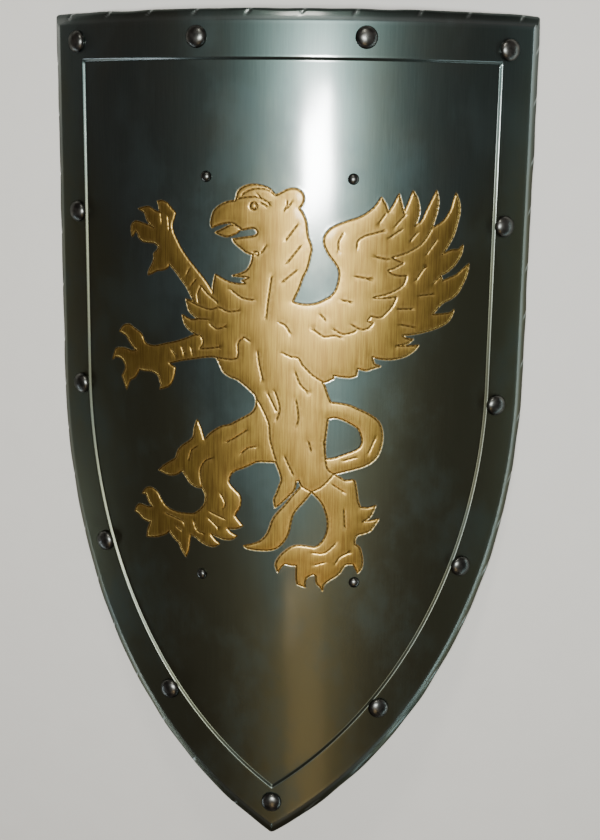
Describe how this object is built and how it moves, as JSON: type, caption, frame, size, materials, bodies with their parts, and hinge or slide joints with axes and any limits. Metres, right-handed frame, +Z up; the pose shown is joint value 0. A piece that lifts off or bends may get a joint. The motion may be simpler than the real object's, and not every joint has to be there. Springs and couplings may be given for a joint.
{
  "type": "heater shield",
  "caption": "Curved heater shield in blackened sheet steel with a raised, roped and riveted border, a chased brass-coated rearing griffin and leather arm straps behind.",
  "frame": {"origin": "on the floor that the shield lies on, under the middle of its box", "axes": "+Y towards the shield's straight top edge, -Y towards its tip, +Z up out of its face, +X to the right seen from the front"},
  "size_m": [0.4108, 0.717, 0.0807],
  "materials": {
    "blackened_steel": "satin",
    "rivet_steel": "polished",
    "brown_leather": "satin"
  },
  "bodies": {
    "root": {"shield_sheet": "blackened_steel", "border_rivet_01": "rivet_steel", "border_rivet_02": "rivet_steel", "border_rivet_03": "rivet_steel", "border_rivet_04": "rivet_steel", "border_rivet_05": "rivet_steel", "border_rivet_06": "rivet_steel", "border_rivet_07": "rivet_steel", "border_rivet_08": "rivet_steel", "border_rivet_09": "rivet_steel", "border_rivet_10": "rivet_steel", "border_rivet_11": "rivet_steel", "border_rivet_12": "rivet_steel", "border_rivet_13": "rivet_steel", "strap_rivet_1": "rivet_steel", "strap_rivet_2": "rivet_steel", "strap_rivet_3": "rivet_steel", "strap_rivet_4": "rivet_steel", "upper_strap": "brown_leather", "lower_strap": "brown_leather"}
  },
  "joints": []
}
